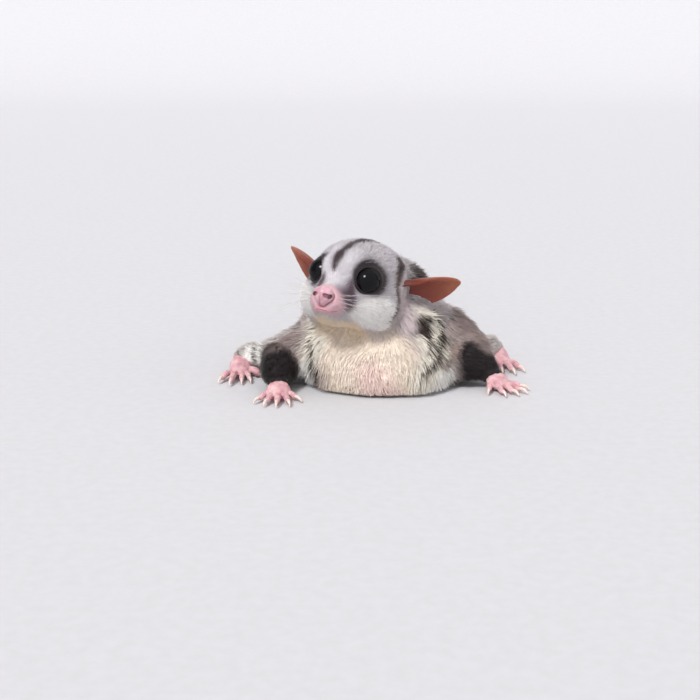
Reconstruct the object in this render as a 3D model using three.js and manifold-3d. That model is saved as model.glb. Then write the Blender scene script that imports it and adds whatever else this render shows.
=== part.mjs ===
// A grown sugar glider, life size and still, lying low on all fours with its chest upright and its
// head raised and turned to its right.
// Millimetres. +X is the animal's left, -Y is ahead of it, +Z is up, and it rests on z = 0.
import * as THREE from "three";
import { mergeVertices } from "three/addons/utils/BufferGeometryUtils.js";
import Module from "manifold-3d";

const wasm = await Module();
wasm.setup();

// Driving dimensions
const head = { length: 40, width: 29, height: 25 };
const headTurn = { yaw: -25, pitch: -11, roll: 6.5 };
const headPlace = new THREE.Vector3(-4.6, -30, 35.3);
const eyeDiameter = 8.6;
const ear = { length: 18, width: 12.5 };
const torso = { length: 88, width: 47, height: 32 };
const torsoMiddle = new THREE.Vector3(5.5, 4, 0);
const handLength = 16;
const footLength = 25;
const tail = { length: 158, width: 19 };
const gap = 0.3;
const sheetThickness = 0.7;

// Colours of the coat and the bare skin
const colours = {
  grey: 0x9a9089,
  dark: 0x3a3134,
  cream: 0xe4d4c2,
  pink: 0xdba6aa,
  nose: 0xdc8f9f,
  ear: 0xa9634e,
  eye: 0x14111a,
};

// A closed three.js geometry as a solid.
function solidFrom(geometry) {
  const bare = new THREE.BufferGeometry();
  bare.setAttribute("position", geometry.getAttribute("position"));
  bare.setIndex(geometry.index);
  const merged = mergeVertices(bare, 1e-4);
  const corners = merged.index.array;
  const kept = [];
  for (let i = 0; i < corners.length; i += 3) {
    const [a, b, c] = [corners[i], corners[i + 1], corners[i + 2]];
    if (a !== b && b !== c && c !== a) kept.push(a, b, c);
  }
  const mesh = new wasm.Mesh({
    numProp: 3,
    vertProperties: new Float32Array(merged.getAttribute("position").array),
    triVerts: new Uint32Array(kept),
  });
  return new wasm.Manifold(mesh);
}

// The solid's largest closed surface, which drops loose scraps and sealed hollows.
function largest(solid) {
  const bodies = solid.decompose();
  bodies.sort((a, b) => b.volume() - a.volume());
  return bodies[0];
}

// One rounded lump of flesh: its centre and its three radii.
function lump(x, y, z, rx, ry, rz) {
  return { centre: new THREE.Vector3(x, y, z), radii: new THREE.Vector3(rx, ry, rz) };
}

// The same lump on both sides of the middle plane.
function pair(x, y, z, rx, ry, rz) {
  return [lump(x, y, z, rx, ry, rz), lump(-x, y, z, rx, ry, rz)];
}

function distanceTo(one, point) {
  const offset = point.clone().sub(one.centre);
  const scaled = offset.clone().divide(one.radii);
  const near = scaled.length();
  if (near < 1e-6) return -Math.min(one.radii.x, one.radii.y, one.radii.z);
  return (near * (near - 1)) / scaled.divide(one.radii).length();
}

// Distance to all the lumps melted into each other over a width of about twice the blend.
function distanceToAll(lumps, blend, point) {
  const sum = lumps.reduce((total, one) => total + Math.exp(-distanceTo(one, point) / blend), 0);
  return -blend * Math.log(sum);
}

// A skin over melted lumps: a sphere whose points are drawn out from a centre until they meet it.
function moulded(lumps, { centre, stretch, blend, sides, rings, grow = 0 }) {
  const geometry = new THREE.SphereGeometry(1, sides, rings);
  const positions = geometry.getAttribute("position");
  const direction = new THREE.Vector3();
  const point = new THREE.Vector3();
  for (let i = 0; i < positions.count; i++) {
    direction.fromBufferAttribute(positions, i).multiply(stretch).normalize();
    let inner = 0;
    let outer = 120;
    for (let step = 0; step < 40; step++) {
      const middle = (inner + outer) / 2;
      point.copy(centre).addScaledVector(direction, middle);
      if (distanceToAll(lumps, blend, point) < grow) inner = middle;
      else outer = middle;
    }
    point.copy(centre).addScaledVector(direction, inner);
    positions.setXYZ(i, point.x, point.y, point.z);
  }
  return solidFrom(geometry);
}

// A limb along a smooth curve through the points, with round ends past the first and the last.
// Each radius is [across, up and down].
function limb(points, radii, { sides = 14, rings = 12, grow = 0 } = {}) {
  const curve = new THREE.CatmullRomCurve3(points.map((p) => new THREE.Vector3(...p)));
  const length = curve.getLength();
  const [startCap, endCap] = [radii[0], radii[radii.length - 1]].map((r) => (r[0] + r[1]) / 2 + grow);
  const geometry = new THREE.SphereGeometry(1, sides, rings);
  const positions = geometry.getAttribute("position");
  for (let i = 0; i < positions.count; i++) {
    const polar = Math.acos(THREE.MathUtils.clamp(positions.getY(i), -1, 1));
    const share = (0.5 * polar) / Math.PI + (1 - Math.cos(polar)) / 4;
    const along = THREE.MathUtils.lerp(-startCap, length + endCap, share);
    const inside = THREE.MathUtils.clamp(along / length, 0, 1);
    const past = along - inside * length;
    const cap = Math.sqrt(Math.max(0, 1 - (past / (past < 0 ? startCap : endCap)) ** 2));
    const tangent = curve.getTangentAt(inside);
    const place = curve.getPointAt(inside).addScaledVector(tangent, past);
    const across = new THREE.Vector3(0, 0, 1).cross(tangent).normalize();
    const above = tangent.clone().cross(across);
    const step = inside * (radii.length - 1);
    const first = Math.min(Math.floor(step), radii.length - 2);
    const between = (k) => THREE.MathUtils.lerp(radii[first][k], radii[first + 1][k], step - first);
    const turn = Math.atan2(positions.getZ(i), positions.getX(i));
    const spread = Math.sin(polar) < 1e-6 ? 0 : cap;
    place.addScaledVector(across, Math.cos(turn) * (between(0) + grow) * spread);
    place.addScaledVector(above, Math.sin(turn) * (between(1) + grow) * spread);
    positions.setXYZ(i, place.x, place.y, place.z);
  }
  return solidFrom(geometry);
}

// A closed sheet of even thickness about a middle surface, with both faces split alike.
function sheet(place, columns, rows, thickness) {
  const points = [];
  const nudge = 1e-3;
  for (const side of [1, -1]) {
    for (let j = 0; j <= rows; j++) {
      for (let i = 0; i <= columns; i++) {
        const [u, v] = [j / rows, (2 * i) / columns - 1];
        const alongU = place(u + nudge, v).sub(place(u - nudge, v));
        const alongV = place(u, v + nudge).sub(place(u, v - nudge));
        const normal = alongV.cross(alongU).normalize();
        points.push(...place(u, v).addScaledVector(normal, (side * thickness) / 2).toArray());
      }
    }
  }
  const faces = [];
  const width = columns + 1;
  const back = width * (rows + 1);
  const quad = (a, b, c, d) => faces.push(a, b, c, a, c, d);
  for (let j = 0; j < rows; j++) {
    for (let i = 0; i < columns; i++) {
      const a = j * width + i;
      const [b, c, d] = [a + 1, a + width + 1, a + width];
      quad(a, b, c, d);
      faces.push(back + a, back + c, back + b, back + a, back + d, back + c);
    }
    const [left, right] = [j * width, j * width + columns];
    quad(left, left + width, back + left + width, back + left);
    quad(right, back + right, back + right + width, right + width);
  }
  for (let i = 0; i < columns; i++) {
    const [low, high] = [i, rows * width + i];
    quad(low, back + low, back + low + 1, low + 1);
    quad(high, high + 1, back + high + 1, back + high);
  }
  const geometry = new THREE.BufferGeometry();
  geometry.setAttribute("position", new THREE.Float32BufferAttribute(points, 3));
  geometry.setIndex(faces);
  return solidFrom(geometry);
}

// Everything above the floor.
const aboveFloor = solidFrom(new THREE.BoxGeometry(400, 600, 200).translate(0, 0, 100));

// Head: lumps about the point midway between the eyes, for a head that looks straight ahead
const turned = new THREE.Euler(
  THREE.MathUtils.degToRad(headTurn.pitch),
  THREE.MathUtils.degToRad(headTurn.roll),
  THREE.MathUtils.degToRad(headTurn.yaw),
  "ZXY",
);
const headMatrix = new THREE.Matrix4().compose(
  headPlace,
  new THREE.Quaternion().setFromEuler(turned),
  new THREE.Vector3(1, 1, 1),
);
const { length: L, width: W, height: H } = head;
const headLumps = [
  lump(0, 0.25 * L, 0.06 * H, 0.455 * W, 0.37 * L, 0.385 * H), // cranium
  lump(0, -0.03 * L, 0.08 * H, 0.2 * W, 0.2 * L, 0.24 * H), // forehead
  lump(0, -0.18 * L, -0.24 * H, 0.15 * W, 0.19 * L, 0.17 * H), // muzzle
  lump(0, -0.12 * L, -0.46 * H, 0.19 * W, 0.17 * L, 0.13 * H), // chin
  lump(0, 0.14 * L, -0.36 * H, 0.36 * W, 0.28 * L, 0.26 * H), // throat
  ...pair(0.27 * W, 0.11 * L, -0.31 * H, 0.25 * W, 0.23 * L, 0.31 * H), // cheeks
  ...pair(0.11 * W, -0.21 * L, -0.31 * H, 0.1 * W, 0.12 * L, 0.1 * H), // whisker pads
  ...pair(0.205 * W, -0.03 * L, 0.01 * H, 0.16 * W, 0.115 * L, 0.19 * H), // rims of the eye sockets
  ...pair(0.4 * W, 0.27 * L, -0.06 * H, 0.13 * W, 0.13 * L, 0.22 * H), // ear bases
];

function onHead(solid) {
  return solid.transform(headMatrix.toArray());
}

function headSkin(sides, rings, grow) {
  const centre = new THREE.Vector3(0, 0.1 * L, -0.1 * H);
  const stretch = new THREE.Vector3(1, 1.2, 1);
  return onHead(moulded(headLumps, { centre, stretch, blend: 1.3, sides, rings, grow }));
}

const eyeX = 0.245 * W;
const eyeY = -0.05 * L;

function eyeball(side, grow = 0) {
  const ball = new THREE.SphereGeometry(eyeDiameter / 2 + grow, 18, 12);
  return onHead(solidFrom(ball.translate(side * eyeX, eyeY, 0)));
}

function eyelids(side) {
  const outward = new THREE.Vector3(side * 0.62, -0.77, 0.17).normalize();
  const ring = new THREE.TorusGeometry(0.44 * eyeDiameter, 0.08 * eyeDiameter, 6, 18);
  ring.applyQuaternion(new THREE.Quaternion().setFromUnitVectors(new THREE.Vector3(0, 0, 1), outward));
  const middle = new THREE.Vector3(side * eyeX, eyeY, 0).addScaledVector(outward, 0.2 * eyeDiameter);
  return onHead(solidFrom(ring.translate(middle.x, middle.y, middle.z)));
}

function nosePad(grow = 0) {
  const lumps = [
    lump(0, -0.37 * L, -0.21 * H, 0.075 * W, 0.045 * L, 0.085 * H), // tip
    lump(0, -0.36 * L, -0.29 * H, 0.05 * W, 0.035 * L, 0.07 * H), // cleft lip
    ...pair(0.055 * W, -0.355 * L, -0.22 * H, 0.055 * W, 0.04 * L, 0.07 * H), // wings
  ];
  const centre = new THREE.Vector3(0, -0.36 * L, -0.24 * H);
  const stretch = new THREE.Vector3(1, 1, 1);
  return onHead(moulded(lumps, { centre, stretch, blend: 0.45, sides: 16, rings: 12, grow }));
}

// A comma-shaped nostril that opens forwards and to the side.
function nostril(side) {
  const pit = [
    [side * 0.045 * W, -0.43 * L, -0.215 * H],
    [side * 0.065 * W, -0.39 * L, -0.23 * H],
    [side * 0.11 * W, -0.37 * L, -0.225 * H],
  ];
  const radii = [[0.5, 0.45], [0.5, 0.4], [0.35, 0.3]];
  return onHead(limb(pit, radii, { sides: 6, rings: 5 }));
}

const halfMouth = [
  [0.04, -0.345, -0.4],
  [0.11, -0.305, -0.39],
  [0.155, -0.235, -0.36],
  [0.175, -0.165, -0.325],
];
const mouthLine = [
  ...halfMouth.map(([x, y, z]) => [x * W, y * L, z * H]).reverse(),
  ...halfMouth.map(([x, y, z]) => [-x * W, y * L, z * H]),
];

function buildHead(grow) {
  if (grow > 0) return headSkin(26, 20, grow + 0.12);
  const lips = limb(mouthLine, [[0.7, 0.95], [0.7, 0.95]], { sides: 8, rings: 18 });
  const slit = mouthLine.map(([x, y, z]) => [x * 1.1, y * 1.035 - 0.1, z]);
  const mouth = limb(slit, [[0.8, 0.24], [0.8, 0.24]], { sides: 6, rings: 18 });
  const flesh = wasm.Manifold.union([headSkin(36, 28, 0), onHead(lips), eyelids(1), eyelids(-1)]);
  const openings = [onHead(mouth), nosePad(gap), eyeball(1, gap), eyeball(-1, gap)];
  return flesh.subtract(wasm.Manifold.union(openings));
}

// Ears: thin cupped leaves that open forwards and down, the left laid back and the right pricked
const ears = {
  left: {
    side: 1,
    root: [0.47, 0.25, -0.01],
    tip: [0.85, 0.5, 0.17],
    opening: [0.41, -0.57, -0.71],
    curl: -1.6,
  },
  right: {
    side: -1,
    root: [-0.47, 0.24, -0.085],
    tip: [-0.77, 0.52, 0.36],
    opening: [-0.63, -0.45, -0.63],
    curl: 1.8,
  },
};

function buildEar({ side, root, tip, opening, curl }) {
  const base = new THREE.Vector3(root[0] * W, root[1] * L, root[2] * H);
  const along = new THREE.Vector3(...tip).normalize();
  const facing = new THREE.Vector3(...opening);
  facing.addScaledVector(along, -along.dot(facing)).normalize();
  const across = along.clone().cross(facing).multiplyScalar(side);
  const widestAt = 0.48;
  const rounded = (u) => {
    if (u < widestAt) return 0.6 + 0.4 * Math.sin((u / widestAt) * (Math.PI / 2));
    return Math.max(0.02, 1 - ((u - widestAt) / (1 - widestAt)) ** 1.9) ** 0.7;
  };
  const place = (u, v) => {
    const half = (ear.width / 2) * rounded(u);
    const cup = 0.8 * (1 - 0.6 * u) * half * (v * v - 0.35);
    return base
      .clone()
      .addScaledVector(along, u * ear.length)
      .addScaledVector(across, v * half * 0.92)
      .addScaledVector(facing, cup + curl * u * u);
  };
  return onHead(sheet(side > 0 ? place : (u, v) => place(u, -v), 8, 12, sheetThickness));
}

// Trunk and neck
const { length: T, width: B, height: Z } = torso;
const middle = torsoMiddle;
const trunkLumps = [
  lump(middle.x, middle.y - 0.25 * T, 0.18 * Z, 0.5 * B, 0.25 * T, 0.5 * Z), // breast
  lump(middle.x - 0.02 * B, middle.y - 0.19 * T, 0.56 * Z, 0.5 * B, 0.21 * T, 0.4 * Z), // shoulders
  lump(middle.x, middle.y + 0.04 * T, 0.42 * Z, 0.43 * B, 0.32 * T, 0.5 * Z), // ribs
  lump(middle.x, middle.y + 0.25 * T, 0.36 * Z, 0.4 * B, 0.25 * T, 0.46 * Z), // loins and hips
];
const neckLumps = [
  lump(middle.x - 0.01 * B, middle.y - 0.16 * T, 0.78 * Z, 0.35 * B, 0.18 * T, 0.43 * Z), // nape
  lump(middle.x - 0.01 * B, middle.y - 0.24 * T, 0.64 * Z, 0.46 * B, 0.17 * T, 0.34 * Z), // ruff
];

function buildTrunk(grow) {
  const centre = middle.clone().setZ(0.35 * Z);
  const stretch = new THREE.Vector3(1, 1.5, 0.8);
  return moulded(trunkLumps, { centre, stretch, blend: 2, sides: 28, rings: 22, grow });
}

function buildNeck(grow) {
  const centre = new THREE.Vector3(middle.x - 0.03 * B, middle.y - 0.22 * T, 0.7 * Z);
  const stretch = new THREE.Vector3(1, 1, 1);
  return moulded(neckLumps, { centre, stretch, blend: 1.5, sides: 24, rings: 16, grow });
}

// Limbs: joints from the trunk outwards, each with its place and its radii across and up and down
const limbs = {
  upper_arm_left: [[18, -14, 17, 10, 9.5], [26, -15, 13.5, 9, 9], [31.5, -17, 10, 7.6, 7.4]],
  upper_arm_right: [[-8, -15, 13, 9, 8], [-16, -17, 10, 8, 7], [-23.5, -19.5, 7.5, 6.2, 6]],
  forearm_left: [[32, -21, 7.6, 7.6, 7.4], [36, -22.5, 5.8, 5.6, 5.4], [39.5, -24, 3.6, 2.9, 2.7]],
  forearm_right: [[-24.5, -22, 7, 6.4, 6.4], [-25.8, -28, 5.6, 5.2, 5.2], [-25, -33.5, 3.6, 2.9, 2.7]],
  thigh_left: [[18, 22, 10, 10, 9], [28, 12, 7.5, 8.5, 7], [36, 3, 5.6, 5.8, 5]],
  thigh_right: [[-6, 19, 10, 10, 9], [-18, 6, 6.5, 8, 6.2], [-28.5, -5, 4.9, 5.8, 4.7]],
  shin_left: [[38, 2, 5.2, 5, 4.6], [42, 7, 4.4, 4, 3.8], [43.5, 11, 3.2, 2.8, 2.8]],
  shin_right: [[-31, -6, 4.7, 5, 4.4], [-36.5, -4, 4.3, 4, 3.8], [-38.5, -1, 3.2, 2.8, 2.8]],
};

function buildLimb(name, grow) {
  const points = limbs[name].map((joint) => joint.slice(0, 3));
  const radii = limbs[name].map((joint) => joint.slice(3));
  return limb(points, radii, { sides: 14, rings: 10, grow });
}

// Hands and feet: a palm or sole with jointed digits and curved claws
function paw({ wrist, heading, palm, digits }) {
  const forward = new THREE.Vector2(Math.sin(heading), -Math.cos(heading));
  const outward = new THREE.Vector2(Math.cos(heading), Math.sin(heading));
  const at = (ahead, side, height) => [
    wrist[0] + forward.x * ahead + outward.x * side,
    wrist[1] + forward.y * ahead + outward.y * side,
    height,
  ];
  const { length, width, height } = palm;
  const sole = [
    at(0.1 * length, 0, 0.75 * height),
    at(0.45 * length, 0, 0.6 * height),
    at(0.8 * length, 0, 0.45 * height),
  ];
  const soleRadii = [
    [0.36 * width, 0.62 * height],
    [0.5 * width, 0.6 * height],
    [0.46 * width, 0.42 * height],
  ];
  const pieces = [limb(sole, soleRadii, { sides: 10, rings: 8 })];
  for (const { side, turn, reach, thick, start = 0.85, claw = 2.4 } of digits) {
    const along = (distance, rise) =>
      at(start * length + Math.cos(turn) * distance, side * width + Math.sin(turn) * distance, rise);
    const end = reach - 0.85 * thick;
    const root = along(-0.1 * reach, 1.1 * thick);
    const joints = [root, along(0.45 * end, 1.75 * thick), along(end, 0.95 * thick)];
    const girths = [thick, 0.95 * thick, 0.85 * thick].map((r) => [r, r]);
    pieces.push(limb(joints, girths, { sides: 6, rings: 5 }));
    if (!claw) continue;
    const bend = along(reach + 0.5 * claw, 1.15 * thick);
    const hook = [along(reach - 0.4, 1.1 * thick), bend, along(reach + claw, 0.3)];
    pieces.push(limb(hook, [[0.5, 0.55], [0.36, 0.42], [0.14, 0.14]], { sides: 4, rings: 4 }));
  }
  return wasm.Manifold.union(pieces);
}

const hand = { length: 0.36 * handLength, width: 0.46 * handLength, height: 0.24 * handLength };
const foot = { length: 0.52 * footLength, width: 0.28 * footLength, height: 0.17 * footLength };

// Five clawed fingers and, on the foot, a clawless great toe set apart, two joined toes and two long
// ones. A turn is in degrees, a side in palm widths and a reach in paw lengths.
const fingers = [
  { side: -0.38, turn: -42, reach: 0.28, thick: 0.92, start: 0.5 },
  { side: -0.28, turn: -17, reach: 0.38, thick: 0.95 },
  { side: -0.04, turn: -2, reach: 0.43, thick: 1 },
  { side: 0.2, turn: 11, reach: 0.4, thick: 0.95 },
  { side: 0.4, turn: 28, reach: 0.32, thick: 0.9, start: 0.65 },
];
const toes = [
  { side: -0.36, turn: -55, reach: 0.2, thick: 1.25, start: 0.72, claw: 0 },
  { side: -0.34, turn: -12, reach: 0.22, thick: 0.8, start: 0.9 },
  { side: -0.1, turn: -4, reach: 0.25, thick: 0.85, start: 0.95 },
  { side: 0.18, turn: 6, reach: 0.32, thick: 1.05, start: 0.95 },
  { side: 0.42, turn: 20, reach: 0.27, thick: 1, start: 0.85 },
];
const paws = {
  hand_left: { wrist: [39.5, -24], heading: 32 },
  hand_right: { wrist: [-25, -34], heading: -4 },
  foot_left: { wrist: [43.5, 10.5], heading: 6 },
  foot_right: { wrist: [-38.5, -2], heading: 0 },
};

function buildPaw(name) {
  const [kind, which] = name.split("_");
  const outer = which === "left" ? 1 : -1;
  const [palm, digits, length] = kind === "hand" ? [hand, fingers, handLength] : [foot, toes, footLength];
  return paw({
    wrist: paws[name].wrist,
    heading: THREE.MathUtils.degToRad(paws[name].heading),
    palm,
    digits: digits.map((one) => ({
      ...one,
      side: outer * one.side,
      turn: THREE.MathUtils.degToRad(outer * one.turn),
      reach: one.reach * length,
    })),
  });
}

// Gliding membrane: a rolled, wavy fold of loose skin along the flank from elbow to thigh
const folds = {
  membrane_left: { from: [26, -4, 10], to: [26.5, 10, 11], bow: 0.5 },
  membrane_right: { from: [-15.5, -7, 10], to: [-15.5, 8, 10.5], bow: -0.5 },
};

function buildMembrane(name, grow) {
  const { from, to, bow } = folds[name];
  const steps = 6;
  const points = [];
  const radii = [];
  for (let i = 0; i <= steps; i++) {
    const share = i / steps;
    const ripple = Math.sin(share * Math.PI * 3);
    points.push([
      THREE.MathUtils.lerp(from[0], to[0], share) + bow * Math.sin(share * Math.PI) + 0.8 * ripple,
      THREE.MathUtils.lerp(from[1], to[1], share),
      THREE.MathUtils.lerp(from[2], to[2], share) + 0.5 * ripple,
    ]);
    radii.push([3.4 + 0.4 * ripple, 5.2]);
  }
  return limb(points, radii, { sides: 12, rings: 12, grow });
}

// Tail: lies along the floor behind, full in the middle and tapering to a soft point
const tailShares = [0, 0.12, 0.25, 0.4, 0.55, 0.7, 0.82, 0.92, 1];
const tailWidths = [0.34, 0.4, 0.47, 0.5, 0.5, 0.45, 0.36, 0.24, 0.1];
const tailHeights = [0.34, 0.38, 0.42, 0.43, 0.41, 0.34, 0.27, 0.18, 0.08];

function buildTail() {
  const start = middle.y + 0.44 * T;
  const points = tailShares.map((share, i) => {
    const sideways = middle.x + 8 * Math.sin(5 * share);
    const resting = 0.86 * tailHeights[i] * tail.width;
    const height = THREE.MathUtils.lerp(0.28 * Z, resting, Math.min(1, 4 * share));
    return [sideways, start + share * tail.length, height];
  });
  const radii = tailShares.map((_, i) => [tailWidths[i] * tail.width, tailHeights[i] * tail.width]);
  return limb(points, radii, { sides: 16, rings: 24 });
}

// Every node, with its colour and the nodes that it is cut clear of.
const nodes = {
  head: { make: buildHead, colour: colours.grey },
  nose: {
    make: () => nosePad().subtract(wasm.Manifold.union([nostril(1), nostril(-1)])),
    colour: colours.nose,
  },
  neck: { make: buildNeck, colour: colours.cream, clearOf: ["head"] },
  torso: { make: buildTrunk, colour: colours.grey, clearOf: ["head", "neck"] },
  tail: { make: buildTail, colour: colours.grey, clearOf: ["torso"] },
};
for (const [which, side] of [["left", 1], ["right", -1]]) {
  const [upper, lower, thigh, shin, fold] = ["upper_arm", "forearm", "thigh", "shin", "membrane"].map(
    (part) => `${part}_${which}`,
  );
  const byLimb = (name) => (grow) => buildLimb(name, grow);
  Object.assign(nodes, {
    [`eye_${which}`]: { make: () => eyeball(side), colour: colours.eye },
    [`ear_${which}`]: {
      make: () => buildEar(ears[which]),
      colour: colours.ear,
      clearOf: ["head", "neck", "torso"],
    },
    [upper]: { make: byLimb(upper), colour: colours.grey, clearOf: ["head", "neck", lower] },
    [lower]: { make: byLimb(lower), colour: colours.dark, clearOf: ["head", "neck"] },
    [`hand_${which}`]: { make: () => buildPaw(`hand_${which}`), colour: colours.pink, clearOf: [lower] },
    [thigh]: { make: byLimb(thigh), colour: colours.grey, clearOf: [upper, lower] },
    [shin]: { make: byLimb(shin), colour: colours.grey, clearOf: [thigh, lower] },
    [`foot_${which}`]: {
      make: () => buildPaw(`foot_${which}`),
      colour: colours.pink,
      clearOf: [shin, thigh],
    },
    [fold]: {
      make: (grow) => buildMembrane(fold, grow),
      colour: colours.dark,
      clearOf: [upper, lower, thigh, shin],
    },
  });
  nodes.torso.clearOf.push(upper, lower, thigh, shin, fold);
}

// A solid as a named mesh.
function meshOf(name, solid, colour) {
  const { vertProperties, triVerts, numProp } = solid.getMesh();
  const points = new Float32Array((vertProperties.length / numProp) * 3);
  for (let i = 0; i < points.length / 3; i++) {
    points.set(vertProperties.subarray(i * numProp, i * numProp + 3), i * 3);
  }
  const geometry = new THREE.BufferGeometry();
  geometry.setAttribute("position", new THREE.BufferAttribute(points, 3));
  geometry.setIndex(new THREE.BufferAttribute(triVerts, 1));
  const material = new THREE.MeshStandardMaterial({ color: colour, roughness: 0.9, metalness: 0 });
  const mesh = new THREE.Mesh(geometry, material);
  mesh.name = name;
  return mesh;
}

const glider = new THREE.Group();
for (const [name, { make, colour, clearOf = [] }] of Object.entries(nodes)) {
  const whole = make(0).intersect(aboveFloor);
  const clear = clearOf.reduce((solid, other) => solid.subtract(nodes[other].make(gap)), whole);
  glider.add(meshOf(name, largest(clear), colour));
}

// The origin is the middle of the footprint.
const box = new THREE.Box3().setFromObject(glider);
const footprint = box.getCenter(new THREE.Vector3()).setZ(0);
glider.children.forEach((mesh) => mesh.position.sub(footprint));

export default glider;
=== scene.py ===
import math
import bpy
import numpy as np
from mathutils import Matrix, Vector
from mathutils.bvhtree import BVHTree
from mathutils.kdtree import KDTree


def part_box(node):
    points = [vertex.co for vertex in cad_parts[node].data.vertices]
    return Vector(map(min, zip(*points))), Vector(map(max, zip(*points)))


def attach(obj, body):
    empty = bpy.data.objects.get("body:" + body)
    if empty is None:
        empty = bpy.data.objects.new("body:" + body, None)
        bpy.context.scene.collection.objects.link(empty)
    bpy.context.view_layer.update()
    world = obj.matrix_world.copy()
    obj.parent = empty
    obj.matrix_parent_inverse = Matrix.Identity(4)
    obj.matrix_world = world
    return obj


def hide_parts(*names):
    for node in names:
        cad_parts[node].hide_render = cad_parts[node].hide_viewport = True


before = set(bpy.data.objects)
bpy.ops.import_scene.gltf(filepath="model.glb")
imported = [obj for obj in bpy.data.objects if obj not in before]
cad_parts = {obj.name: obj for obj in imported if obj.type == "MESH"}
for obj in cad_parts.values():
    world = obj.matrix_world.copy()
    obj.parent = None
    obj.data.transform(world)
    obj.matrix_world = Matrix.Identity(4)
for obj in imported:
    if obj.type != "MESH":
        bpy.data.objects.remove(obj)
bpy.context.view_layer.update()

# Sugar glider, a still life-size model. The scene is in metres, the values below in millimetres.
mm = 0.001
draw = np.random.default_rng(11)
leftAndRight = {"left": 1, "right": -1}


# Small helpers

def linearColour(hexText):
    values = [int(hexText[i:i + 2], 16) / 255 for i in (0, 2, 4)]
    return [v / 12.92 if v <= 0.04045 else ((v + 0.055) / 1.055) ** 2.4 for v in values]


def unit(vectors):
    return vectors / np.maximum(np.linalg.norm(vectors, axis=-1, keepdims=True), 1e-9)


def smoothStep(low, high, values):
    share = np.clip((values - low) / (high - low), 0, 1)
    return share * share * (3 - 2 * share)


def pick(*pieces):
    if bpy.context.mode != "OBJECT":
        bpy.ops.object.mode_set(mode="OBJECT")
    bpy.ops.object.select_all(action="DESELECT")
    for piece in pieces:
        piece.select_set(True)
    bpy.context.view_layer.objects.active = pieces[0]


def addModifier(piece, kind, **settings):
    pick(piece)
    modifier = piece.modifiers.new(kind.title(), kind)
    for name, value in settings.items():
        setattr(modifier, name, value)
    bpy.ops.object.modifier_apply(modifier=modifier.name)


def joined(pieces, name):
    pick(*pieces)
    if len(pieces) > 1:
        bpy.ops.object.join()
    piece = bpy.context.view_layer.objects.active
    bpy.ops.object.transform_apply(location=True, rotation=True, scale=True)
    piece.name = piece.data.name = name
    return piece


def copyOf(nodeNames, name, swell):
    # a swelled copy of CAD nodes, whose loose triangles are merged first
    copies = []
    for nodeName in nodeNames:
        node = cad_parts[nodeName]
        copied = bpy.data.objects.new(nodeName + "_copy", node.data.copy())
        bpy.context.scene.collection.objects.link(copied)
        pick(copied)
        bpy.ops.object.mode_set(mode="EDIT")
        bpy.ops.mesh.select_all(action="SELECT")
        bpy.ops.mesh.remove_doubles(threshold=1e-6)
        bpy.ops.object.mode_set(mode="OBJECT")
        addModifier(copied, "DISPLACE", strength=swell * mm, mid_level=0)
        copies.append(copied)
    piece = joined(copies, name)
    piece.data.materials.clear()
    return piece


def smoothCopy(nodeNames, name, values):
    piece = copyOf(nodeNames, name, values["swell"])
    addModifier(piece, "REMESH", mode="VOXEL", voxel_size=values["voxel"] * mm)
    addModifier(piece, "SMOOTH", factor=0.5, iterations=values["smooth"])
    return piece


def readRows(items, name, columns, kind=float):
    values = np.empty(len(items) * columns, kind)
    items.foreach_get(name, values)
    return values.reshape(-1, columns)


def pointsOf(piece):
    return readRows(piece.data.vertices, "co", 3)


def setPoints(piece, points):
    piece.data.vertices.foreach_set("co", points.ravel())
    piece.data.update()


def normalsOf(piece):
    return readRows(piece.data.vertex_normals, "vector", 3)


def setColours(piece, name, colours):
    attribute = piece.data.attributes.new(name, "FLOAT_COLOR", "POINT")
    withAlpha = np.concatenate([colours, np.ones((len(colours), 1))], axis=1)
    attribute.data.foreach_set("color", withAlpha.astype(np.float32).ravel())


def setShares(piece, name, shares):
    # one number from 0 to 1 for each point, which a material reads by this name
    attribute = piece.data.attributes.new(name, "FLOAT", "POINT")
    attribute.data.foreach_set("value", np.clip(shares, 0, 1).astype(np.float32))


def finishPiece(piece, material, slot, *nodes):
    piece.data.materials.clear()
    piece.data.materials.append(material)
    pick(piece)
    bpy.ops.object.shade_smooth()
    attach(piece, "root")
    if nodes:
        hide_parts(*nodes)


def ripple(points, size, seed):
    # a soft wave from -1 to 1 with bumps about this many millimetres across
    waves = np.random.default_rng(seed)
    total = np.zeros(len(points))
    for _ in range(6):
        direction = unit(waves.normal(size=3)) * (2 * math.pi / (size * waves.uniform(0.8, 2.2)))
        total += np.sin(points @ direction + waves.uniform(0, 6.28))
    return total / 3


def bandShare(points, line, soft):
    # line holds rows of x, y, z and half width, and the share falls from 1 to 0 over soft
    rows = np.array(line, float)
    best = np.full(len(points), -1e9)
    if len(rows) == 1:
        rows = np.concatenate([rows, rows + 1e-6])
    for start, end in zip(rows[:-1], rows[1:]):
        span = end[:3] - start[:3]
        along = np.clip((points - start[:3]) @ span / max(span @ span, 1e-9), 0, 1)
        closest = start[:3] + along[:, None] * span
        reach = start[3] + (end[3] - start[3]) * along
        best = np.maximum(best, reach - np.linalg.norm(points - closest, axis=1))
    return smoothStep(-soft / 2, soft / 2, best)


# Where the head and the body stand in the frame, from the two eyeballs of the CAD model

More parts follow.
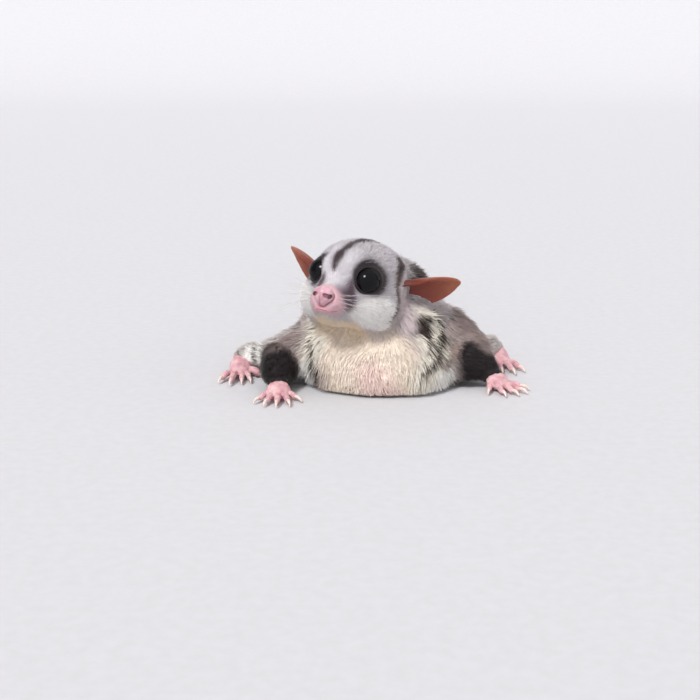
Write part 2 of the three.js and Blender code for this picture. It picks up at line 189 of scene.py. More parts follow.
head = {
    "yaw": -25, "pitch": -11, "roll": 6.5,  # degrees
    "eyeBack": -2.0,                        # the eyeballs lie 2 mm in front of the head's middle
    "middleInPhoto": (-4.6, -30.0, 35.3),   # the head's middle in the body's own numbers
}
headTurn = (Matrix.Rotation(math.radians(head["yaw"]), 3, "Z")
            @ Matrix.Rotation(math.radians(head["pitch"]), 3, "X")
            @ Matrix.Rotation(math.radians(head["roll"]), 3, "Y"))
eyeMiddles = {which: (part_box("eye_" + which)[0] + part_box("eye_" + which)[1]) / 2
              for which in leftAndRight}
headMiddle = ((eyeMiddles["left"] + eyeMiddles["right"]) / 2
              - headTurn @ Vector((0, head["eyeBack"] * mm, 0)))
bodyOrigin = headMiddle - Vector(head["middleInPhoto"]) * mm
headAxes = np.array(headTurn)


def toHead(points):
    return (points - np.array(headMiddle)) @ headAxes / mm


def fromHead(points):
    return np.array(points, float) * mm @ headAxes.T + np.array(headMiddle)


def toBody(points):
    return (points - np.array(bodyOrigin)) / mm


def fromBody(points):
    return np.array(points, float) * mm + np.array(bodyOrigin)


# Camera at the photograph's angle, plain pale floor that curves up behind, and soft light

view = {"elevation": 14, "distance": 450, "target": (-3.9, 0, 5.3), "lens": 71.74}
rise = math.radians(view["elevation"])
target = Vector(fromBody(view["target"]))
cameraData = bpy.data.cameras.new("photo_camera")
cameraData.lens = view["lens"]
cameraData.sensor_width = 36
cameraData.clip_start = 0.01
camera = bpy.data.objects.new("photo_camera", cameraData)
camera.location = target + Vector((0, -math.cos(rise), math.sin(rise))) * view["distance"] * mm
camera.rotation_euler = (math.radians(90 - view["elevation"]), 0, 0)
bpy.context.scene.collection.objects.link(camera)
bpy.context.scene.camera = camera
bpy.context.scene.view_settings.view_transform = "Standard"

studio = {"world": "f2f1f4", "worldStrength": 0.42}
world = bpy.data.worlds.new("studio")
world.use_nodes = True
worldShade = world.node_tree.nodes["Background"]
worldShade.inputs["Color"].default_value = linearColour(studio["world"]) + [1]
worldShade.inputs["Strength"].default_value = studio["worldStrength"]
bpy.context.scene.world = world

softLights = [  # name, direction it comes from, apparent width in degrees, strength
    ("window_light", (-0.335, -0.568, 0.737), 16, 2.35),
    ("front_fill", (0.3, -0.8, 0.35), 150, 1.5),
    ("rear_fill", (0.2, 0.75, 0.6), 80, 0.4),
]
for name, direction, apparentWidth, strength in softLights:
    lamp = bpy.data.lights.new(name, "SUN")
    lamp.angle = math.radians(apparentWidth)
    lamp.energy = strength
    lampObject = bpy.data.objects.new(name, lamp)
    lampObject.rotation_euler = (-Vector(direction)).to_track_quat("-Z", "Y").to_euler()
    bpy.context.scene.collection.objects.link(lampObject)
print("camera and lights")


# Materials

def newMaterial(name, **sockets):
    material = bpy.data.materials.new(name)
    material.use_nodes = True
    shader = material.node_tree.nodes["Principled BSDF"]
    for socket, value in sockets.items():
        label = socket.replace("_", " ")
        if isinstance(value, str):
            value = linearColour(value) + [1]
        shader.inputs[label].default_value = value
    return material, material.node_tree, shader


def addNode(tree, kind, settings=None, links=None):
    # settings are properties or input values by name, links are input name to output socket
    node = tree.nodes.new(kind)
    for name, value in (settings or {}).items():
        if isinstance(name, int) or name in node.inputs:
            node.inputs[name].default_value = value
        else:
            setattr(node, name, value)
    for name, output in (links or {}).items():
        tree.links.new(output, node.inputs[name])
    return node


def addColours(tree, shader, factor, stops):
    # base colour from hex values placed along a factor from 0 to 1
    node = addNode(tree, "ShaderNodeValToRGB", links={"Fac": factor})
    ramp = node.color_ramp
    while len(ramp.elements) < len(stops):
        ramp.elements.new(0.5)
    for element, (place, hexText) in zip(ramp.elements, stops):
        element.position = place
        element.color = linearColour(hexText) + [1]
    tree.links.new(node.outputs["Color"], shader.inputs["Base Color"])


def objectNoise(tree, size, detail=3):
    # noise whose features are about this many millimetres across
    where = addNode(tree, "ShaderNodeTexCoord")
    return addNode(tree, "ShaderNodeTexNoise", {"Scale": 1 / (size * mm), "Detail": detail},
                   {"Vector": where.outputs["Object"]})


def addBump(tree, shader, height, depth, strength=1.0):
    bump = addNode(tree, "ShaderNodeBump", {"Distance": depth * mm, "Strength": strength},
                   {"Height": height})
    tree.links.new(bump.outputs["Normal"], shader.inputs["Normal"])


def tintedAttribute(tree, name, noise, low, high):
    # a colour attribute made lighter and darker by a noise
    colour = addNode(tree, "ShaderNodeAttribute", {"attribute_name": name})
    spread = addNode(tree, "ShaderNodeMapRange", {"To Min": low, "To Max": high},
                     {"Value": noise.outputs["Fac"]})
    return addNode(tree, "ShaderNodeVectorMath", {"operation": "SCALE"},
                   {"Vector": colour.outputs["Color"], "Scale": spread.outputs["Result"]})


def makeFur(name, sheen, low, high):
    # keratin guard hair: soft broad highlight, paler where light grazes it
    material, tree, shader = newMaterial(name, IOR=1.55, Specular_IOR_Level=0.28,
                                         Sheen_Weight=sheen, Sheen_Roughness=0.45,
                                         Sheen_Tint="f4efe9")
    tint = tintedAttribute(tree, "coatColour", objectNoise(tree, 0.9), low, high)
    tree.links.new(tint.outputs["Vector"], shader.inputs["Base Color"])
    strands = objectNoise(tree, 0.12, 2)  # finer than one tuft
    rough = addNode(tree, "ShaderNodeMapRange", {"To Min": 0.5, "To Max": 0.74},
                    {"Value": strands.outputs["Fac"]})
    tree.links.new(rough.outputs["Result"], shader.inputs["Roughness"])
    addBump(tree, shader, strands.outputs["Fac"], 0.02)
    return material


guardHair = makeFur("guard_hair", 0.22, 0.86, 1.12)
shadedUnderFur = makeFur("under_fur", 0.3, 0.7, 0.95)  # the skin between the guard hairs, darker as painted shade deep in the coat


def makeBareSkin(name, stops, creaseSize, creaseDepth, roughness, soft, coat=0.0):
    # thin living skin: light goes a little way in, fine creases catch it
    material, tree, shader = newMaterial(name, Roughness=roughness, IOR=1.4,
                                         Specular_IOR_Level=0.45, Subsurface_Weight=soft,
                                         Subsurface_Scale=0.8 * mm, Coat_Weight=coat,
                                         Coat_Roughness=0.25)
    blotches = objectNoise(tree, 2.4)
    addColours(tree, shader, blotches.outputs["Fac"], stops)
    creases = objectNoise(tree, creaseSize, 4)
    addBump(tree, shader, creases.outputs["Fac"], creaseDepth)
    return material


pinkSkin = makeBareSkin("bare_paw_skin", [(0.3, "bd8890"), (0.5, "d0a2a7"), (0.7, "dfbabb")],
                        0.35, 0.12, 0.5, 0.35)
noseSkin = makeBareSkin("moist_nose_skin", [(0.3, "b58492"), (0.5, "c99ca7"), (0.72, "dab4bb")],
                        0.28, 0.11, 0.34, 0.35, 0.35)
lidSkin = makeBareSkin("dark_eyelid_skin", [(0.3, "140f12"), (0.7, "251b20")], 0.3, 0.08, 0.42, 0.0)
mouthSkin = makeBareSkin("lip_edge_skin", [(0.3, "8a5a62"), (0.7, "a8757e")], 0.3, 0.06, 0.4, 0.1)


def paintNostrilShade(material, hexText):
    # painted shade: the nostril hollows and the groove between them are mixed towards a deep red-brown
    tree = material.node_tree
    base = tree.nodes["Principled BSDF"].inputs["Base Color"]
    hollow = addNode(tree, "ShaderNodeAttribute", {"attribute_name": "pitShade"})
    mixed = addNode(tree, "ShaderNodeMixRGB", {"Color2": linearColour(hexText) + [1]},
                    {"Fac": hollow.outputs["Fac"], "Color1": base.links[0].from_socket})
    tree.links.new(mixed.outputs["Color"], base)


paintNostrilShade(noseSkin, "5c2934")


def makeEarSkin():
    # naked leathery ear: orange-brown, redder and darker near the head, translucent
    material, tree, shader = newMaterial("naked_ear_skin", Roughness=0.5, IOR=1.4,
                                         Specular_IOR_Level=0.4, Subsurface_Weight=0.4,
                                         Subsurface_Scale=1.2 * mm, Sheen_Weight=0.25,
                                         Sheen_Roughness=0.5, Sheen_Tint="f0c8a8")
    depth = addNode(tree, "ShaderNodeAttribute", {"attribute_name": "earReach"})
    blotches = objectNoise(tree, 3.0)
    mixed = addNode(tree, "ShaderNodeMath", {"operation": "MULTIPLY_ADD", 1: 0.25},
                    {0: blotches.outputs["Fac"], 2: depth.outputs["Fac"]})
    addColours(tree, shader, mixed.outputs["Value"],
               [(0.08, "48201b"), (0.35, "74352b"), (0.75, "8e4b3b"), (1.0, "a5634c")])
    creases = objectNoise(tree, 0.5, 5)
    addBump(tree, shader, creases.outputs["Fac"], 0.15)
    return material


def makeEye():
    # wet black-brown eye: the cornea is a clear coat over a very dark iris
    material, tree, shader = newMaterial("wet_dark_eye", Roughness=0.4, IOR=1.38,
                                         Specular_IOR_Level=0.0, Coat_Weight=0.42,
                                         Coat_Roughness=0.13)
    reach = addNode(tree, "ShaderNodeAttribute", {"attribute_name": "irisReach"})
    addColours(tree, shader, reach.outputs["Fac"],
               [(0.0, "030307"), (0.45, "040408"), (0.6, "09060b"), (0.85, "0d080c"), (1.0, "070509")])
    threads = objectNoise(tree, 0.4, 3)
    addBump(tree, shader, threads.outputs["Fac"], 0.02, 0.4)
    return material


def makeHorn(name, stops):
    # claw horn or whisker: pale, waxy and slightly clear
    material, tree, shader = newMaterial(name, Roughness=0.35, IOR=1.54, Specular_IOR_Level=0.5,
                                         Subsurface_Weight=0.2, Subsurface_Scale=0.5 * mm)
    streaks = objectNoise(tree, 0.4)
    addColours(tree, shader, streaks.outputs["Fac"], stops)
    addBump(tree, shader, streaks.outputs["Fac"], 0.03)
    return material


earSkin = makeEarSkin()
wetEye = makeEye()
clawHorn = makeHorn("claw_horn", [(0.3, "d9b6ae"), (0.7, "f3e6dc")])
whiskerHair = makeHorn("whisker_hair", [(0.3, "a89c9c"), (0.7, "ddd5d4")])


def makeFloor():
    # smooth unglazed paper, whose fine grain hardly shows
    material, tree, shader = newMaterial("matt_pale_paper", Roughness=0.85)
    grain = objectNoise(tree, 3.0, 2)
    addColours(tree, shader, grain.outputs["Fac"], [(0.3, "c9c8ca"), (0.7, "cdcccf")])
    return material


# the floor's far edge is drawn up into a curved backdrop
backdrop = {"size": 6, "far": 1.1, "drop": 0.0004, "radius": 0.5, "steps": 10, "wall": 2}  # metres
pick(*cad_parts.values())
bpy.ops.object.select_all(action="DESELECT")
bpy.ops.mesh.primitive_plane_add(size=backdrop["size"],
                                 location=(0, backdrop["far"] - backdrop["size"] / 2,
                                           -backdrop["drop"]))
floor = joined([bpy.context.active_object], "pale_floor")
for step in range(backdrop["steps"]):
    bpy.ops.object.mode_set(mode="EDIT")
    bpy.ops.mesh.select_mode(type="EDGE")
    bpy.ops.mesh.select_all(action="DESELECT")
    bpy.ops.object.mode_set(mode="OBJECT")
    spots = [v.co for v in floor.data.vertices]  # the far edge is the last and the highest one
    farEdge = max(floor.data.edges,
                  key=lambda edge: sum(spots[i].y + 9 * spots[i].z for i in edge.vertices))
    farEdge.select = True
    tilt = math.radians(90 * (step + 0.5) / backdrop["steps"])
    stride = backdrop["radius"] * math.pi / 2 / backdrop["steps"]
    bpy.ops.object.mode_set(mode="EDIT")
    bpy.ops.mesh.extrude_region_move(TRANSFORM_OT_translate={
        "value": (0, math.cos(tilt) * stride, math.sin(tilt) * stride)})
    bpy.ops.object.mode_set(mode="OBJECT")
bpy.ops.object.mode_set(mode="EDIT")
bpy.ops.mesh.extrude_region_move(TRANSFORM_OT_translate={"value": (0, 0, backdrop["wall"])})
bpy.ops.object.mode_set(mode="OBJECT")
floor.data.materials.append(makeFloor())
bpy.ops.object.shade_smooth()
print("materials")


# Skin: one surface for all the flesh under the coat, a coat's depth inside the solids

fleshNodes = ["head", "neck", "torso", "tail"] + [
    part + "_" + which for which in leftAndRight
    for part in ("upper_arm", "forearm", "membrane", "thigh", "shin")]

skinValues = {
    "swell": 0.4, "voxel": 0.62, "smooth": 6, "lastSmooth": 2, "aboveFloor": 0.3,
    "kindSpread": 10, "depthSpread": 6, "thinOnFace": 0.45, "besideEars": 0.9,
    "face": (6, -8),  # back and front of the face in the head's numbers
    "fromPaw": (0.5, 5), "fromNose": (0.3, 4), "fromEye": (4.6, 7), "fromEar": (6, 2),
    "swellFromPaw": (0.2, 2.5),
}
# hair length, lift from the skin in degrees, hair width, hairs per square millimetre, how far a
# hair leans to its clump, and how far the skin lies below the solid; the widths are several
# times a real hair's, so that they show
coatColumns = ["length", "lift", "width", "density", "clump", "depth"]
coatKinds = {
    "head": (3.2, 24, 0.20, 15.0, 0.2, 0.9),
    "neck": (6.2, 24, 0.27, 11.0, 0.4, 2.4),
    "torso": (6.6, 23, 0.30, 7.2, 0.3, 2.3),
    "tail": (10.5, 26, 0.36, 5.2, 0.4, 3.4),
    "upper_arm": (5.2, 22, 0.28, 8.5, 0.35, 1.6),
    "forearm": (3.4, 20, 0.24, 11.0, 0.3, 0.8),
    "membrane": (6.0, 24, 0.28, 7.5, 0.45, 1.4),
    "thigh": (6.0, 24, 0.31, 6.0, 0.4, 1.8),
    "shin": (3.6, 22, 0.25, 8.0, 0.35, 0.8),
}
kinds = list(coatKinds)

skin = smoothCopy(fleshNodes, "skin", skinValues)

nodePoints, nodeFaces, faceKinds = [], [], []
for nodeName in fleshNodes:
    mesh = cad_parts[nodeName].data
    start = len(nodePoints)
    nodePoints += [v.co.copy() for v in mesh.vertices]
    nodeFaces += [[start + i for i in face.vertices] for face in mesh.polygons]
    kind = nodeName.replace("_left", "").replace("_right", "")
    faceKinds += [kinds.index(kind)] * len(mesh.polygons)
nodeTree = BVHTree.FromPolygons(nodePoints, nodeFaces)

skinPoints = pointsOf(skin)
nearest = [nodeTree.find_nearest(point)[2] for point in skinPoints]
kindOf = np.array(faceKinds)[nearest]
edges = readRows(skin.data.edges, "vertices", 2, np.int32)


def spread(values, times):
    # each point takes the mean of itself and its neighbours, so many times
    first, second = edges.T
    count = len(skinPoints)
    shares = 1 + np.bincount(first, minlength=count) + np.bincount(second, minlength=count)
    for _ in range(times):
        total = values.copy()
        for column in range(values.shape[1]):
            total[:, column] += np.bincount(first, values[second, column], count)
            total[:, column] += np.bincount(second, values[first, column], count)
        values = total / shares[:, None]
    return values


kindShares = spread(np.eye(len(kinds))[kindOf], skinValues["kindSpread"])


def kindValue(name):
    return kindShares @ np.array([coatKinds[kind][coatColumns.index(name)] for kind in kinds])


def nearestDistance(points, nodeNames):
    # distance in millimetres from each point to the nearest vertex of these CAD nodes
    found = [v.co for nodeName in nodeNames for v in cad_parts[nodeName].data.vertices]
    tree = KDTree(len(found))
    for i, co in enumerate(found):
        tree.insert(co, i)
    tree.balance()
    return np.array([tree.find(point)[2] for point in points]) / mm


pawNodes = [part + "_" + which for which in leftAndRight for part in ("hand", "foot")]
fromPaw = nearestDistance(skinPoints, pawNodes)
fromNose = nearestDistance(skinPoints, ["nose"])
fromEye = np.min([np.linalg.norm(skinPoints - np.array(eyeMiddles[which]), axis=1)
                  for which in leftAndRight], axis=0) / mm
fromEar = nearestDistance(skinPoints, ["ear_left", "ear_right"])

headPoints = toHead(skinPoints)
bodyPoints = toBody(skinPoints)
headShare = kindShares[:, kinds.index("head")]
neckShare = kindShares[:, kinds.index("neck")]
onFace = headShare * smoothStep(*skinValues["face"], headPoints[:, 1])

# the skin comes up to the bare paws, nose and eyes, and lies deeper beside the ears
depth = kindValue("depth")
depth = depth * (1 - onFace * skinValues["thinOnFace"])
for name, gap in (("fromPaw", fromPaw), ("fromNose", fromNose), ("fromEye", fromEye)):
    depth *= smoothStep(*skinValues[name], gap)
depth += skinValues["besideEars"] * smoothStep(*skinValues["fromEar"], fromEar) * (1 - headShare)
depth = spread(depth[:, None], skinValues["depthSpread"])[:, 0]
depth += skinValues["swell"] * smoothStep(*skinValues["swellFromPaw"], fromPaw)
skinPoints = skinPoints - normalsOf(skin) * depth[:, None] * mm
skinPoints[:, 2] = np.maximum(skinPoints[:, 2], skinValues["aboveFloor"] * mm)
setPoints(skin, skinPoints)
addModifier(skin, "SMOOTH", factor=0.5, iterations=skinValues["lastSmooth"])
skinPoints = pointsOf(skin)
skinNormals = normalsOf(skin)
headPoints = toHead(skinPoints)
bodyPoints = toBody(skinPoints)
print("skin", len(skinPoints))


# Lie of the coat: away from the nose, down the breast, along the limbs and the tail

limbLies = {  # shoulder to wrist and hip to ankle, in the body's numbers
    "upper_arm_left": ((18, -14, 17), (31.5, -17, 10)),
    "upper_arm_right": ((-8, -15, 13), (-23.5, -19.5, 7.5)),
    "forearm_left": ((32, -21, 7.6), (39.5, -24, 3.6)),
    "forearm_right": ((-24.5, -22, 7), (-25, -33.5, 3.6)),
    "thigh_left": ((18, 22, 10), (36, 3, 5.6)),
    "thigh_right": ((-6, 19, 10), (-28.5, -5, 4.9)),
    "shin_left": ((38, 2, 5.2), (43.5, 11, 3.2)),
    "shin_right": ((-31, -6, 4.7), (-38.5, -1, 3.2)),
    "membrane_left": ((20, -14, 12), (30, 8, 6)),
    "membrane_right": ((-10, -14, 12), (-20, 8, 6)),
}
lieValues = {
    "noseTip": (0, -15.5, -6.0),     # in the head's numbers
    "middle": 3,                     # the body's midline in its own numbers
    "facing": (-0.1, -0.75), "breast": (-12, -26),
    "spread": 24, "lastSpread": 4,
    "eyeReach": (9, 4.5), "eyeTurn": 0.25,
    "swirl": 20, "swirlSize": 13,    # degrees and millimetres
}

across = np.sign(bodyPoints[:, 0] - lieValues["middle"])[:, None]
frontness = (smoothStep(*lieValues["facing"], skinNormals[:, 1])
             * smoothStep(*lieValues["breast"], bodyPoints[:, 1]))[:, None]
backward = unit(np.array([0.0, 1.0, -0.22]) + across * np.array([0.12, 0, 0]))
downward = unit(np.array([0.0, -0.05, -1.0]) + across * np.array([0.28, 0, 0]))
trunkLie = unit(backward * (1 - frontness) + downward * frontness)
neckLie = unit(backward * (1 - frontness) + downward * frontness + np.array([0, 0, -0.35]))
headLie = unit(headPoints - np.array(lieValues["noseTip"])) @ headAxes.T
lie = trunkLie.copy()
lie[kindOf == kinds.index("neck")] = neckLie[kindOf == kinds.index("neck")]
lie[kindOf == kinds.index("head")] = headLie[kindOf == kinds.index("head")]
lie[kindOf == kinds.index("tail")] = (0, 1, 0)
for name, (start, end) in limbLies.items():
    kind, which = name.rsplit("_", 1)
    onThisSide = (bodyPoints[:, 0] > lieValues["middle"]) == (which == "left")
    here = (kindOf == kinds.index(kind)) & onThisSide
    lie[here] = unit(np.array(end, float) - np.array(start, float))
lie = spread(lie, lieValues["spread"])
# hair parts around the eyes instead of running over them
for which in leftAndRight:
    toEye = np.array(eyeMiddles[which]) - skinPoints
    near = smoothStep(*lieValues["eyeReach"], np.linalg.norm(toEye, axis=1) / mm)[:, None]
    toEye = unit(toEye)
    inward = np.sum(lie * toEye, axis=1, keepdims=True)
    lie = lie - toEye * (np.maximum(inward, 0) + lieValues["eyeTurn"]) * near
swirl = (np.radians(lieValues["swirl"]) * ripple(bodyPoints, lieValues["swirlSize"], 21)
         * (1 - onFace))
lie = lie * np.cos(swirl)[:, None] + np.cross(skinNormals, lie) * np.sin(swirl)[:, None]
lie = spread(lie, lieValues["lastSpread"])
lie = unit(lie - skinNormals * np.sum(lie * skinNormals, axis=1, keepdims=True))

hairValues = {
    "chest": [(-6, -32, 16, 8), (2, -38, 6, 12)], "chestSoft": 8,  # finer coat there
    "faceLength": 0.58, "chestLength": 0.58, "chestLift": 0.5, "faceWidth": 0.75,
    "faceDensity": 2.1, "chestDensity": 1.5, "faceClump": 0.4, "chestClump": 0.4,
    "tail": (45, 155), "tailEnd": (0.8, 1), "tailEndLength": 0.75,
}
onChest = bandShare(bodyPoints, hairValues["chest"], hairValues["chestSoft"])
tailShare = np.clip((bodyPoints[:, 1] - hairValues["tail"][0]) / hairValues["tail"][1], 0, 1)


def changed(values, share, factor):
    # times factor where share is 1, and as it was where share is 0
    return values * (1 + (factor - 1) * share)


hairLength = changed(kindValue("length"), onFace, hairValues["faceLength"])
hairLength = changed(hairLength, onChest, hairValues["chestLength"])
hairLength = changed(hairLength, smoothStep(*hairValues["tailEnd"], tailShare),
                     hairValues["tailEndLength"])
# distance from a bare place, the factor beside it, and where the change starts and ends
for gap, factor, start, end in ((fromEye, 0.5, 4.6, 8.5), (fromNose, 0.18, 0.5, 7),
                                (fromPaw, 0.3, 0.5, 6), (fromEar, 0.42, 0.8, 7),
                                (skinPoints[:, 2] / mm, 0.65, 1, 5)):
    hairLength = changed(hairLength, 1 - smoothStep(start, end, gap), factor)
hairLift = changed(kindValue("lift"), onChest, hairValues["chestLift"])
hairWidth = changed(kindValue("width"), onFace, hairValues["faceWidth"])
hairDensity = changed(kindValue("density"), onFace, hairValues["faceDensity"])
hairDensity = changed(hairDensity, onChest, hairValues["chestDensity"])
clumping = changed(kindValue("clump"), onFace, hairValues["faceClump"])
clumping = changed(clumping, onChest, hairValues["chestClump"])


# Markings, each a soft band along points, worked out on the skin and carried to the hairs on it

palette = {
    "crown": "c6c0c5", "cheek": "fbf7f4", "bridge": "e2dde2", "chin": "f0d9bb", "muzzle": "96828f",
    "muzzleDark": "5f4d57", "snout": "dfb4bc", "lip": "dfa3ae", "stripe": "44343a", "ring": "2a2026",
    "line": "55443f", "patch": "3d3030", "earBase": "d6c6c8", "back": "b5a7a2", "spine": "554644",
    "breast": "f6e4d2", "pinkBreast": "f1d4ca", "belly": "efe6d8", "nape": "b9afb1",
    "arm": "a3948f", "armTop": "93827f", "forearm": "1f171b",
    "ventral": "f8f5f0", "fold": "96837c", "membrane": "4a3e3e", "leg": "c4bbb7", "tail": "a3989a",
    "tailTip": "2f2729", "paleLock": "f6eee0", "darkLock": "33261f",
}
kindColours = {"head": "crown", "neck": "nape", "torso": "back", "tail": "tail", "upper_arm": "arm",
               "forearm": "forearm", "membrane": "membrane", "thigh": "leg", "shin": "leg"}

# colour, softness, both sides, rows of x, y, z and half width
headMarks = [
    ("bridge", 3.0, False, [(-1.8, -9.1, -1.2, 2.6), (2.4, -8.6, 0.4, 2.0), (2.2, -8, 4.4, 1.8),
        (2.6, -4, 7.6, 1.6)]),
    ("bridge", 3.0, False, [(-1.8, -9.1, -1.2, 2.6), (-4.6, -6.8, 3.1, 1.6), (-4.4, -2, 7.6, 1.6)]),
    ("cheek", 2.0, True, [(7.0, -7.0, -8.6, 2.3), (9.8, -4.2, -9.4, 4.4), (13.0, -0.8, -8.8, 4.8),
        (12.6, 1.5, -10.5, 3.6)]),
    ("chin", 3.0, True, [(0, -10.6, -13.6, 2.0), (3.2, -8.0, -14.4, 2.4), (4.2, -2.5, -15.4, 3.4),
        (4, 3, -17, 4.0)]),
    ("earBase", 3.0, True, [(15.2, 9.5, 0, 2.6), (15.4, 10, -5, 3.4), (16.6, 9.5, -9, 3.0)]),
    ("muzzle", 2.6, True, [(4.0, -10.8, -4.0, 2.0), (5.8, -9.4, -5.6, 2.7)]),
    ("muzzleDark", 2.6, True, [(4.8, -7.6, -2.2, 1.5), (5.4, -8.4, -4.2, 1.9),
        (6.2, -9.2, -6.6, 2.0)]),
    ("snout", 3.2, True, [(0.6, -14.2, -3.4, 1.6), (3.0, -13.2, -5.4, 2.2),
        (3.8, -12.8, -8.4, 2.2)]),
    ("lip", 1.5, True, [(0, -14.4, -9.4, 1.5), (2.4, -13.2, -10.2, 0.9), (3.8, -11.2, -10.6, 0.3)]),
    ("ring", 1.3, False, [(8.0, -2.7, 0.8, 5.5), (8.2, -2.9, 0.9, 5.5)]),
    ("ring", 1.3, False, [(-8.2, -2.4, 0.4, 4.9), (-8.4, -2.2, 0.8, 5.0)]),
    ("stripe", 1.0, False, [(-0.8, -9.4, 1.4, 0.6), (-0.7, -8.5, 4.5, 1.05), (-0.8, -5.3, 7.3, 1.3),
        (-0.8, -0.3, 9.3, 1.5), (0, 5.0, 10.6, 1.8), (0, 12, 11, 2.1),
        (0, 22, 11, 2.5)]),
    ("patch", 1.8, True, [(11.8, 9.6, 6.4, 2.5), (13.6, 6.6, 2.5, 1.6)]),
    ("line", 1.6, True, [(13.6, 6.6, 2.5, 1.2), (14.2, 5.1, -1.5, 1.0), (14.9, 5.0, -4.4, 1.0),
        (15.2, 4.1, -7.4, 1.0), (14.6, 3.0, -10.3, 0.8)]),
    ("patch", 1.6, True, [(13.2, 18.4, 2.7, 1.4), (12.6, 21.5, 4.6, 2.6), (11.5, 25.5, 6.2, 3.3)]),
]
bodyMarks = [  # colour, softness and rows
    ("spine", 5.0, [(3, -6, 38, 2.4), (5, 5, 31, 2.6), (5.5, 20, 29, 2.6), (5.5, 40, 22, 2.2),
        (5.5, 50, 16, 2.0)]),
    ("breast", 6.0, [(-8, -31, 18, 9.0), (0, -36, 14, 12.5), (3, -38, 6, 14.5),
        (3, -34, 0, 14.0)]),
    ("paleLock", 4.0, [(17, -28, 24, 3.5), (20, -28, 20, 5.5), (20, -30, 14, 5.5),
        (19, -34, 8, 5.0)]),
    ("paleLock", 4.0, [(-13, -24, 20, 4.5), (-15, -26, 12, 3.6)]),
    ("pinkBreast", 7.0, [(0.5, -39, 12, 3.5), (3, -39, 6, 5.0), (5, -39, 3, 6.0)]),
    ("ventral", 2.6, [(24.5, -29.5, 7.5, 3.2), (23, -32, 2, 4.6)]),
    ("ventral", 2.6, [(-16.6, -25.7, 8.5, 3.0), (-16, -27, 2, 3.8)]),
    # painted shade in the crease between the left arm and the breast
    ("fold", 2.0, [(26.5, -25, 12.5, 1.9), (22.5, -30, 10.8, 1.2)]),
    ("belly", 8.0, [(5, -20, -4, 15.0), (5.5, 30, -4, 16.0)]),
    ("darkLock", 1.2, [(15.4, -29.6, 23.2, 1.9), (16.8, -29.4, 21.6, 2.5)]),
    ("darkLock", 0.7, [(18.6, -28.2, 19.9, 0.7), (18.2, -30, 17.6, 1.2),
        (17.6, -31.6, 15.4, 0.6)]),
    ("darkLock", 0.7, [(20.6, -25.4, 24.4, 0.7), (22.6, -24.0, 22.2, 1.2),
        (23.0, -24.4, 20.4, 0.6)]),
    ("darkLock", 0.7, [(24.4, -22.4, 20.0, 0.7), (22.6, -26.0, 18.0, 1.2),
        (19.4, -30.6, 14.2, 0.7)]),
    ("darkLock", 0.7, [(21.4, -29.4, 13.4, 1.0), (19.0, -33.2, 11.0, 0.9),
        (17.4, -35.6, 9.0, 0.4)]),
    ("darkLock", 0.7, [(-14.8, -23.4, 15.4, 0.7), (-15.0, -26, 11.0, 1.2), (-13.8, -29.4, 8.0, 1.0),
        (-13.2, -30, 3.0, 0.6)]),
    ("armTop", 3.5, [(28, -16, 18, 4.5), (32, -20, 16, 4.0), (35.5, -22.5, 12.8, 2.2)]),
    ("armTop", 3.5, [(-20, -15, 15, 4.0), (-24, -20, 14.5, 3.2), (-27, -23, 11.5, 2.0)]),
    ("ventral", 1.6, [(-34.8, -8.2, 7.0, 1.8), (-36.4, -8.6, 4.0, 1.6)]),
    ("ventral", 1.6, [(-30.4, -9.4, 7.2, 1.6), (-31.4, -10.4, 4.4, 1.4)]),
    ("darkLock", 1.2, [(-39.4, -4.6, 6.4, 0.8), (-38.8, -7.4, 3.8, 0.9)]),
    ("darkLock", 1.2, [(-32.8, -9.0, 7.6, 0.5), (-33.6, -10.2, 4.6, 0.8)]),
    ("darkLock", 1.2, [(-28.6, -8.4, 7.2, 0.6), (-29.0, -9.6, 4.2, 0.8)]),
]
markValues = {"wobble": 0.35, "wobbleSize": 4.0, "snap": 3,  # millimetres
              "tailTip": (0.62, 0.95), "tipWobble": 0.04, "tipWobbleSize": 12}
wobble = ripple(bodyPoints, markValues["wobbleSize"], 3)[:, None] * markValues["wobble"]
coatColours = kindShares @ np.array([linearColour(palette[kindColours[kind]]) for kind in kinds])
markTree = BVHTree.FromObject(skin, bpy.context.evaluated_depsgraph_get())


def ontoSkin(line, backOut):
    # rows that are near the skin are laid on it
    intoFrame, outOfFrame = backOut
    laid = []
    for *place, reach in line:
        found, _, _, gap = markTree.find_nearest(Vector(intoFrame(place)))
        if gap < markValues["snap"] * mm:
            place = outOfFrame(np.array(found))
        laid.append((*place, reach))
    return laid


def paint(colour, share):
    coatColours[:] += (np.array(linearColour(palette[colour])) - coatColours) * share[:, None]


bodyMarks = [(colour, soft, False, line) for colour, soft, line in bodyMarks]
markSets = [(bodyMarks, bodyPoints, 1 - headShare, (fromBody, toBody)),
            (headMarks, headPoints, np.minimum(1, 2.2 * (headShare + 0.6 * neckShare)),
             (fromHead, toHead))]
for marks, points, reach, backOut in markSets:
    for colour, soft, bothSides, line in marks:
        where = points + wobble
        if bothSides:
            where[:, 0] = np.abs(where[:, 0])
        paint(colour, bandShare(where, ontoSkin(line, backOut), soft) * reach)
tipWobble = markValues["tipWobble"] * ripple(bodyPoints, markValues["tipWobbleSize"], 5)
tipShare = smoothStep(*markValues["tailTip"], tailShare + tipWobble)
paint("tailTip", tipShare * kindShares[:, kinds.index("tail")])
setColours(skin, "coatColour", coatColours)

pick(skin)
bpy.ops.object.mode_set(mode="EDIT")
bpy.ops.mesh.select_all(action="SELECT")
bpy.ops.uv.smart_project(angle_limit=math.radians(66), island_margin=0.001)
bpy.ops.object.mode_set(mode="OBJECT")
skin.data.uv_layers[0].name = "OFBake"
# the skin wears the darker under-fur material, which is painted shade beneath the coat
finishPiece(skin, shadedUnderFur, "coat", *fleshNodes)
print("markings and unwrap")


# Coat: tufts rooted all over the skin, each a thin closed solid that follows the lie

